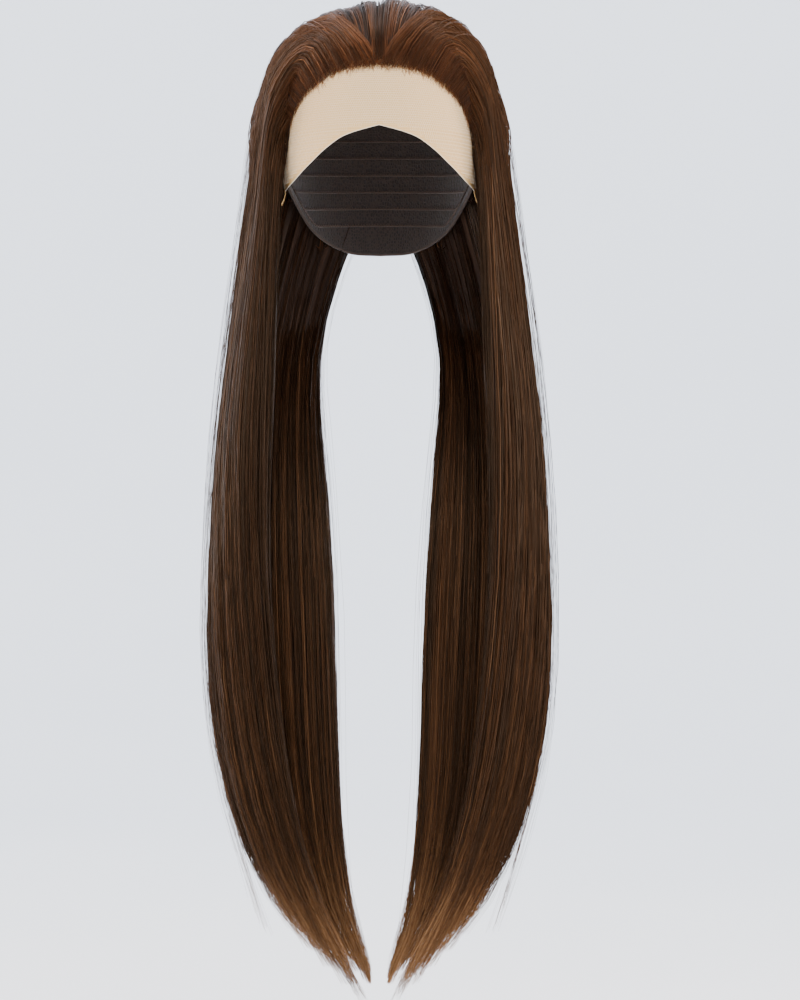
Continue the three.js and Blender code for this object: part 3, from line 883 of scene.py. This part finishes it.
def strand_lines(fall, side, rng, count, hair):
    """Lines of the strands of one hanging mass, with their tone, thickness and number."""
    head, first, low, depth, deep, shade = strand_groups(fall, side, rng, count)
    clumps = hair.clumps
    clump_tone = rng.normal(0, 0.14, clumps)
    clump_end = rng.random(clumps) ** 1.7
    place = (rng.random(clumps) * 0.6 + 0.2 + np.arange(clumps)) / clumps
    clump = np.clip((low * clumps).astype(int), 0, clumps - 1)
    ragged = hair.layering * clump_end[clump] + 0.13 * rng.random(count) ** 2
    end = 1.03 - RAGGED[fall] * ragged
    down = fall_levels(end)
    near_end = smooth(CURL_START, 1.0, down / end[:, None])
    spread = mix(first[:, None], low[:, None], smooth(0.0, 0.45, down))
    pull = (hair.clumping * rng.uniform(0.5, 1.2, count))[:, None] * smooth(0.3, 0.9, down)
    across = mix(spread, place[clump][:, None], pull * (1 - 0.45 * near_end))
    thick = mix(depth[:, None], deep[:, None], smooth(0.02, 0.35, down))
    hang = fall_point(fall, side, across, down, thick, TIP_SHARE)
    # The ends turn in towards the middle, those of the outer strands most
    outer = low if fall == "side" else 1 - low
    curl = hair.curl * (0.35 + 0.65 * outer) * rng.uniform(0.5, 1.1, count)
    hang[..., 0] -= np.minimum(curl[:, None], hang[..., 0] - MIDDLE_GAP) * near_end ** 1.6
    lines = joined(head, hang, side)

    share = np.linspace(0, 1, lines.shape[1])[None, :]
    own = clump_tone[clump] + rng.normal(0, 0.15, count)
    # Tone: a random shift for each lock and strand, its group's painted shade, and painted light that makes
    # strands nearer the outside lighter; the ends are lighter still, as painted light through them.
    tone = STRAND_TONE + shade + own + 0.08 * np.maximum(depth, 0)
    gold = TIP_GOLD * smooth(0.9, 1.0, share)
    taper = np.minimum(1, 0.25 + 7 * share) * (1 - 0.78 * smooth(0.75, 1, share))
    facts = {
        "tone": np.clip(tone[:, None] + gold, 0, 1),
        "along": share,
        "thick": taper * rng.uniform(0.7, 1.25, count)[:, None],
        "strand": np.arange(count)[:, None] * 1.7,
    }
    return lines, facts


def stray_lines(rng, count):
    """Single hairs that stand a little off the outside and the inner edges of the masses."""
    lines = []
    for side in (-1, 1):
        for fall, inner in (("side", 0.0), ("nape", 1.0)):
            number = count // 3 if fall == "side" else count // 6
            if fall == "side":
                s = rng.random(number) ** 2 * 0.6
                head = swept_aside(side, s, 1.1 + 0 * s, 0 * s, rng.normal(0, 2, number), 0 * s)
                first = np.clip((mix(*SWEPT_TURNS, s) - TEMPLE_ANGLE) / FALL_TURNS, 0, 1)
                low = 1 - 0.1 * rng.random(number)
            else:
                first = low = 1 - 0.06 * rng.random(number)
                head = combed_back(side, strand_at(fall, low), 0.9 + 0 * low, 0.4 + 0 * low, 0 * low)
            down = fall_levels(1 - 0.3 * rng.random(number) ** 2)
            across = mix(first[:, None], low[:, None], smooth(0.0, 0.4, down))
            off = mix(0.75, 1.0, smooth(0.02, 0.35, down))
            line = joined(head, fall_point(fall, side, across, down, off, TIP_SHARE), side)
            share = np.linspace(0, 1, line.shape[1])[None, :]
            bump = np.sin(np.pi * np.clip(share * rng.uniform(0.7, 1.6, number)[:, None] - 0.25, 0, 1)) ** 2
            amount = rng.uniform(1, 8, number)[:, None] * MM * bump * (1 - 2 * inner) * side
            line[..., 0] += amount
            lines.append(line)
    lines = np.concatenate(lines)
    total = len(lines)
    share = np.linspace(0, 1, lines.shape[1])[None, :]
    facts = {
        "tone": rng.uniform(0.5, 0.9, total)[:, None],
        "along": share,
        "thick": (1 - 0.6 * share) * rng.uniform(0.4, 0.6, total)[:, None],
        "strand": np.arange(total)[:, None] * 3.1,
    }
    return lines, facts


def hairline_lines(rng, count):
    """Short fine hairs knotted in the lace just in front of the hairline, combed back."""
    side = np.where(rng.random(count) < 0.5, -1, 1)
    s = rng.random(count) * 1.16
    front = s * TEMPLE_ANGLE
    t = np.linspace(0, 1, HAIRLINE_POINTS)[None, :]
    ahead = np.abs(rng.normal(0, 3.6, count))
    length = rng.uniform(8, 24, count)
    lean = rng.normal(0, 9, count) + 10 * s
    walk = (ahead[:, None] - length[:, None] * t) * MM
    tilt = hairline_tilt(front)[:, None] + np.degrees(walk / CROWN_HEIGHT)
    turn = front[:, None] + lean[:, None] * t ** 1.4
    over = rng.uniform(0.2, 1.0, count)[:, None]
    points = on_head(turn, tilt, HAIRLINE_SKIN + (0.2 + 6 * t ** 1.3 * over) * MM)
    points[..., 0] *= side[:, None]
    # Hairs knotted further ahead of the hairline are lighter, and each darkens along its length as painted
    # shade where it runs back towards the mass.
    facts = {
        "tone": np.clip(0.3 + 0.08 * ahead[:, None] - 0.2 * t + rng.uniform(0, 0.2, count)[:, None], 0, 1),
        "along": 0.2 * t,
        "thick": (0.45 + 0.8 * t) * (1 - t ** 3) * rng.uniform(0.45, 0.8, count)[:, None],
        "strand": np.arange(count)[:, None] * 2.3,
    }
    return points, facts


class WigHairSettings(bpy.types.PropertyGroup):
    """Sizes and counts of the strands."""
    strands: bpy.props.IntProperty(
        name="Strands", description="Strands in each of the four hanging masses", default=1130)
    hairline: bpy.props.IntProperty(
        name="Hairline hairs", description="Short hairs along the hairline", default=1400)
    strays: bpy.props.IntProperty(
        name="Stray hairs", description="Single hairs that stand off the masses", default=110)
    width: bpy.props.FloatProperty(
        name="Strand width", description="Width of a drawn strand, which stands for a few real fibres",
        default=0.7 * MM, unit="LENGTH")
    clumps: bpy.props.IntProperty(
        name="Locks", description="Fine locks that the strands of a mass gather to", default=46)
    clumping: bpy.props.FloatProperty(
        name="Gathering", description="How far strands draw together towards their tips",
        default=0.62, subtype="FACTOR")
    layering: bpy.props.FloatProperty(
        name="Layering", description="Share of the hanging length that the shortest locks lack",
        default=0.06, subtype="FACTOR")
    curl: bpy.props.FloatProperty(
        name="Curl", description="How far the ends turn in towards the middle",
        default=34 * MM, unit="LENGTH")
    wave: bpy.props.FloatProperty(
        name="Wave", description="Sideways wandering of a strand at its tip", default=7 * MM, unit="LENGTH")
    seed: bpy.props.IntProperty(name="Seed", description="Seed of every random choice", default=11)


class WigClothSettings(bpy.types.PropertyGroup):
    """Sizes and colours of the cap and the lace."""
    lace_alpha: bpy.props.FloatProperty(
        name="Lace cover", description="Share of what is behind it that the lace hides",
        default=0.82, subtype="FACTOR")
    thread: bpy.props.FloatProperty(
        name="Edge thread", description="Width of the cord along the lace's cut edge",
        default=0.5 * MM, unit="LENGTH")
    thread_colour: bpy.props.StringProperty(
        name="Thread colour", description="Colour of the lace's yarn as an sRGB hex value", default="#e9d8bd")
    net_pitch: bpy.props.FloatProperty(
        name="Net pitch", description="Width of a drawn cell of the lace, larger than real so that it shows",
        default=2.1 * MM, unit="LENGTH")
    net_thread: bpy.props.FloatProperty(
        name="Net thread", description="Width of a thread of the lace net", default=0.24 * MM, unit="LENGTH")
    weft_gap: bpy.props.FloatProperty(
        name="Weft gap", description="Distance between the rows of wefts sewn to the cap",
        default=14 * MM, unit="LENGTH")
    binding: bpy.props.FloatProperty(
        name="Binding", description="Width of the folded binding round the cap's rim",
        default=2.4 * MM, unit="LENGTH")


class WigStageSettings(bpy.types.PropertyGroup):
    """Floor, light and camera distance."""
    floor_drop: bpy.props.FloatProperty(
        name="Floor", description="Distance from the crown down to the studio floor", default=0.95,
        unit="LENGTH")
    distance: bpy.props.FloatProperty(
        name="Camera distance", description="From the camera to the crown's level plane", default=2.5,
        unit="LENGTH")


class BuildCap(bpy.types.Operator):
    """Build the knitted cap with its bound rim"""
    bl_idname = "wig.build_cap"
    bl_label = "Cap"
    # Drops of the first and last weft, the turn where they start, their rise at the back and the
    # degrees that they keep from the rim
    first_weft = 22 * MM
    last_weft = 172 * MM
    weft_turn = 98
    weft_arch = 6 * MM
    rim_room = 2.5
    weft_width = 1.5 * MM
    stitch_swing = 1.1 * MM
    stitch_width = 0.45 * MM

    def execute(self, context):
        settings = context.scene.wig_cloth
        front = np.linspace(-EAR_ANGLE, EAR_ANGLE, 61)
        behind = np.linspace(EAR_ANGLE, 360 - EAR_ANGLE, 83)[1:-1]
        turns = np.concatenate([front, behind])
        away = np.where(turns > 180, 360 - turns, turns)
        share = np.linspace(0, 1, 41)[None, :]
        tilt = cap_rim_tilt(away)[:, None] * share
        outer = on_head(turns[:, None], tilt, CAP_LIFT)
        inner = on_head(turns[:, None], tilt, CAP_CLEARANCE)
        flat = np.stack(np.broadcast_arrays(
            np.radians(turns)[:, None] * HEAD_HALF_WIDTH, np.radians(tilt) * CROWN_HEIGHT), axis=-1)
        material = cap_material()
        cap = closed_piece("cap_net", outer, inner, material, flat, wrapped=True)
        ride(cap, "cap_net", "crown_cap")
        rim = on_head(turns, cap_rim_tilt(away), CAP_LIFT - 0.6 * MM)
        back = rim[len(front) - 1:]
        lines = back[None, :, :]
        facts = {"tone": 0.5, "along": 0.0, "thick": 1.0, "strand": 0.0}
        tape = thread_material("Cap binding tape", "#3a2a20")
        binding = tubes_along("cap_binding", lines, facts, tape, Width=settings.binding, Sides=8, Wave=0.0)
        ride(binding, "cap_net")
        self.weft_rows(settings, tape)
        return {"FINISHED"}

    def weft_rows(self, settings, tape):
        # Rows of sewn wefts behind the ears, and the zigzag stitches that hold each to the net
        drops = np.arange(self.first_weft, self.last_weft, settings.weft_gap)[:, None]
        turns = np.linspace(self.weft_turn, 360 - self.weft_turn, 181)[None, :]
        away = np.where(turns > 180, 360 - turns, turns)
        arched = drops - self.weft_arch * np.cos(np.radians(away)) ** 2
        tilt = np.minimum(tilt_at_drop(arched), cap_rim_tilt(away) - self.rim_room)
        rows = on_head(turns, tilt, CAP_CLEARANCE - 0.1 * MM)
        facts = {"tone": 0.5, "along": 0.0, "thick": 1.0, "strand": 0.0}
        weft = tubes_along("cap_wefts", rows[:, ::3], facts, tape, Width=self.weft_width, Sides=5, Wave=0.0)
        ride(weft, "cap_net")
        swing = np.where(np.arange(turns.shape[1]) % 2, 1, -1) * np.degrees(self.stitch_swing / LOWER_HEIGHT)
        zigzag = on_head(turns, tilt + swing, CAP_CLEARANCE - 0.9 * MM)
        yarn = thread_material("Cap stitching yarn", "#5d4536")
        stitches = tubes_along("cap_stitches", zigzag, facts, yarn, Width=self.stitch_width, Wave=0.0)
        ride(stitches, "cap_net")


class BuildLace(bpy.types.Operator):
    """Build the sheer lace panel, its cut edge and the two ear tabs"""
    bl_idname = "wig.build_lace"
    bl_label = "Lace"
    # Degrees that the net reaches under the hair and keeps from the cut edge, and the ear tab's size
    net_overlap = 5
    net_margin = 0.4
    tab_width = 13 * MM
    tab_length = 17 * MM
    tab_curl = 9 * MM

    def execute(self, context):
        settings = context.scene.wig_cloth
        turns = np.linspace(-EAR_ANGLE, EAR_ANGLE, 121)
        share = np.linspace(0, 1, 41)[None, :]
        tilt = mix(seam_tilt(turns)[:, None], lace_edge_tilt(turns)[:, None], share)
        outer = on_head(turns[:, None], tilt, CAP_CLEARANCE + 0.9 * LACE_WALL)
        inner = on_head(turns[:, None], tilt, CAP_CLEARANCE + 0.6 * LACE_WALL)
        flat = np.stack(np.broadcast_arrays(
            np.radians(turns)[:, None] * HEAD_HALF_WIDTH, np.radians(tilt) * CROWN_HEIGHT), axis=-1)
        film = lace_material("Sheer lace net", settings.lace_alpha)
        lace = closed_piece("lace_panel", outer, inner, film, flat)
        ride(lace, "lace", "lace_front")
        edge = on_head(turns, lace_edge_tilt(turns), CAP_CLEARANCE + 0.75 * LACE_WALL)[None]
        facts = {"tone": 0.5, "along": 0.0, "thick": 1.0, "strand": 0.0}
        yarn = thread_material("Lace edge yarn", settings.thread_colour)
        cord = tubes_along("lace_edge", edge, facts, yarn, Width=settings.thread, Sides=5, Wave=0.0)
        ride(cord, "lace")
        net = self.net(settings, yarn)
        ride(net, "lace")
        tabs = [self.ear_tab(name, side, film) for name, side in (("left", -1), ("right", 1))]
        return {"FINISHED"}

    def net(self, settings, yarn):
        # A sheet of triangles over the shown part of the panel, whose dual is the hexagonal net
        wide = np.degrees(settings.net_pitch / (0.95 * HEAD_HALF_DEPTH))
        high = np.degrees(settings.net_pitch * math.sqrt(0.75) / CROWN_HEIGHT)
        columns = int(2 * EAR_ANGLE / wide)
        top = float(tilt_at_drop(HAIRLINE_DROP)) - self.net_overlap
        tilts = np.arange(top, float(tilt_at_drop(EAR_DROP)), high)
        number = {}
        points = []
        for i, tilt in enumerate(tilts):
            for j in range(columns):
                turn = -EAR_ANGLE + (j + 0.5 + 0.5 * (i % 2)) * wide
                under_hair = hairline_tilt(turn) - self.net_overlap
                at_edge = lace_edge_tilt(turn) - self.net_margin
                if under_hair < tilt < at_edge and abs(turn) < EAR_ANGLE:
                    number[i, j] = len(points)
                    points.append((turn, tilt))
        faces = []
        for i, j in number:
            shift = i % 2
            for corners in (((i, j), (i, j + 1), (i + 1, j + shift)),
                            ((i, j), (i + 1, j + shift), (i + 1, j + shift - 1))):
                if all(corner in number for corner in corners):
                    faces.append(tuple(number[corner] for corner in corners))
        turn, tilt = np.array(points).T
        sheet = piece_from("lace_net", on_head(turn, tilt, CAP_CLEARANCE + 0.95 * LACE_WALL), faces, yarn)
        return from_nodes(sheet, net_tree(), yarn, Thread=settings.net_thread)

    def ear_tab(self, name, side, film):
        along, across = grid(15, 9)
        width = ((1 - along) ** 0.8 + 0.12) * self.tab_width
        turn = EAR_ANGLE - np.degrees(across * width / HEAD_HALF_DEPTH)
        tilt = lace_edge_tilt(turn) + np.degrees((SEAM_GAP + along * self.tab_length * 0.75) / LOWER_HEIGHT)
        curl = self.tab_curl * along * along
        outer = on_head(turn, tilt, CAP_CLEARANCE + 0.9 * LACE_WALL + curl)
        inner = on_head(turn, tilt, CAP_CLEARANCE + 0.5 * LACE_WALL + curl)
        outer[..., 0] *= side
        inner[..., 0] *= side
        flat = np.stack([turn * 1.35 * MM, along * self.tab_length], axis=-1)
        tab = closed_piece(f"lace_tab_{name}", outer, inner, film, flat)
        ride(tab, "lace", f"ear_tab_{name}")
        return tab


class BuildHairBodies(bpy.types.Operator):
    """Build the dense hair under the loose strands"""
    bl_idname = "wig.build_hair_bodies"
    bl_label = "Hair under layer"

    def execute(self, context):
        material = under_hair_material()
        for name, side in (("left", -1), ("right", 1)):
            rng = np.random.default_rng(5)
            across = np.linspace(0, 1, 81)
            away = {"side": across, "nape": 1 - across}
            ends = {fall: UNDER_END[fall] + 0.03 * rng.random(81) - 0.12 * away[fall] ** 3 for fall in FALLS}
            outer = {fall: self.surface(fall, side, (0.4, 0.5), ends) for fall in FALLS}
            inner = {fall: self.surface(fall, side, (-1, -0.5), ends) for fall in FALLS}
            crown = []
            for layer in (outer, inner):
                whole = np.concatenate([layer["side"], layer["nape"]])
                whole[-1, :CROWN_POINTS, 0] = 0
                crown.append(whole[:, :CROWN_POINTS + 1])
            strand, along = grid(*crown[0].shape[:2])
            lay = np.stack([strand * 0.14, along * 0.22], axis=-1)
            body = closed_piece(f"crown_under_{name}", *crown, material, lay)
            ride(body, "hair", f"crown_hair_{name}")
            for fall in FALLS:
                across, down = grid(outer[fall].shape[0], FALL_POINTS)
                lay = np.stack([across * 0.1, 0.22 + down * 0.6], axis=-1)
                body = closed_piece(f"{fall}_under_{name}", outer[fall][:, CROWN_POINTS:],
                                    inner[fall][:, CROWN_POINTS:], material, lay)
                ride(body, "hair", f"{fall}_fall_{name}")
        return {"FINISHED"}

    def surface(self, fall, side, depth, ends):
        """One side of the under layer, which thins out towards its uneven ends."""
        low, high = (0.03, 1.0) if fall == "nape" else (0.04, 0.97)
        across = np.linspace(low, high, len(ends[fall]))
        return under_lines(fall, side, across, depth, ends[fall])


class BuildStrands(bpy.types.Operator):
    """Build the strands that run from the hairline and the cap to the tips"""
    bl_idname = "wig.build_strands"
    bl_label = "Strands"

    def execute(self, context):
        hair = context.scene.wig_hair
        material = fibre_material()
        for i, (name, side) in enumerate((("left", -1), ("right", 1))):
            for j, fall in enumerate(FALLS):
                rng = np.random.default_rng(hair.seed + 10 * i + j)
                lines, facts = strand_lines(fall, side, rng, hair.strands, hair)
                strands = tubes_along(f"{fall}_strands_{name}", lines, facts, material,
                                      Width=hair.width, Wave=hair.wave, Seed=float(hair.seed + i))
                ride(strands, "hair")
        rng = np.random.default_rng(hair.seed + 100)
        lines, facts = hairline_lines(rng, hair.hairline)
        short = tubes_along("hairline_strands", lines, facts, material, Width=hair.width, Wave=0.0)
        ride(short, "hair")
        lines, facts = stray_lines(rng, hair.strays)
        stray = tubes_along("stray_strands", lines, facts, material, Width=hair.width, Wave=hair.wave)
        ride(stray, "hair")
        return {"FINISHED"}


class BuildStage(bpy.types.Operator):
    """Build the pale studio, its lights and the camera"""
    bl_idname = "wig.build_stage"
    bl_label = "Stage"

    def execute(self, context):
        settings = context.scene.wig_stage
        self.studio(settings)
        self.lights(context)
        self.camera(context, settings)
        return {"FINISHED"}

    def studio(self, settings):
        # A round floor that curves up into a wall all round, seen the same from every side.
        profile = [(0.0, 0.0), (3.0, 0.0)]
        for k in range(1, 13):
            angle = math.pi / 2 * k / 12
            profile.append((3.0 + 3.0 * math.sin(angle), 3.0 * (1 - math.cos(angle))))
        profile.append((6.0, 7.0))
        radii, heights = (np.array(v) for v in zip(*profile))
        turns = np.linspace(0, 2 * np.pi, 97)[:-1]
        points = np.stack(np.broadcast_arrays(
            radii * np.cos(turns)[:, None], radii * np.sin(turns)[:, None],
            heights - settings.floor_drop + 0 * turns[:, None]), axis=-1)
        rows, columns = points.shape[:2]
        faces = []
        for i in range(rows):
            n = (i + 1) % rows
            for j in range(columns - 1):
                faces.append((i * columns + j, n * columns + j, n * columns + j + 1, i * columns + j + 1))
        floor = piece_from("studio_floor", points.reshape(-1, 3), faces, studio_material())
        weld_and_face_out(floor)

    def lights(self, context):
        world = bpy.data.worlds.new("Studio air")
        world.use_nodes = True
        world.node_tree.nodes["Background"].inputs["Color"].default_value = linear("#e8ecf2")
        world.node_tree.nodes["Background"].inputs["Strength"].default_value = 1.35
        context.scene.world = world
        self.softbox("key", (0.5, -2.2, 1.3), (0, 0, -0.25), 1.8, 1.6, 44)
        self.softbox("left rim", (-1.9, 0.35, 0.5), (0, 0, -0.3), 0.7, 2.0, 32, "#ffdcb0")
        self.softbox("right rim", (1.9, 0.35, 0.5), (0, 0, -0.3), 0.7, 2.0, 46, "#ffdcb0")
        self.softbox("top", (0, 0.2, 2.2), (0, 0, 0), 1.4, 1.4, 18, "#ffeeda")

    def softbox(self, name, place, target, width, height, power, colour="#ffffff"):
        light = bpy.data.lights.new(name, "AREA")
        light.shape = "RECTANGLE"
        light.size = width
        light.size_y = height
        light.energy = power
        light.color = linear(colour)[:3]
        obj = bpy.data.objects.new(name, light)
        obj.location = place
        aim = Vector(target) - Vector(place)
        obj.rotation_euler = aim.to_track_quat("-Z", "Y").to_euler()
        bpy.context.collection.objects.link(obj)

    def camera(self, context, settings):
        lens = bpy.data.cameras.new("Camera")
        sensor = 36.0
        picture_height = 0.80
        lens.sensor_width = sensor
        lens.lens = sensor * settings.distance / picture_height
        camera = bpy.data.objects.new("Camera", lens)
        camera.location = (0.016, -settings.distance, -0.3836)
        camera.rotation_euler = (math.pi / 2, 0, 0)
        context.collection.objects.link(camera)
        context.scene.camera = camera


class WigPanel(bpy.types.Panel):
    """Lists the steps that build the wig"""
    bl_idname = "VIEW3D_PT_wig"
    bl_label = "Lace front wig"
    bl_space_type = "VIEW_3D"
    bl_region_type = "UI"
    bl_category = "Wig"

    def draw(self, context):
        for step in STEPS:
            self.layout.operator(step.bl_idname)
        for group in (context.scene.wig_hair, context.scene.wig_cloth, context.scene.wig_stage):
            for name in group.__annotations__:
                self.layout.prop(group, name)


SETTINGS = {"wig_hair": WigHairSettings, "wig_cloth": WigClothSettings, "wig_stage": WigStageSettings}
STEPS = (BuildStage, BuildCap, BuildLace, BuildHairBodies, BuildStrands)
CLASSES = (*SETTINGS.values(), *STEPS, WigPanel)


def register():
    for kind in CLASSES:
        bpy.utils.register_class(kind)
    for name, kind in SETTINGS.items():
        setattr(bpy.types.Scene, name, bpy.props.PointerProperty(type=kind))


def unregister():
    for name in SETTINGS:
        delattr(bpy.types.Scene, name)
    for kind in reversed(CLASSES):
        bpy.utils.unregister_class(kind)


def main():
    register()
    bpy.ops.wig.build_stage()
    bpy.ops.wig.build_cap()
    bpy.ops.wig.build_lace()
    bpy.ops.wig.build_hair_bodies()
    bpy.ops.wig.build_strands()


if __name__ == "__main__":
    main()
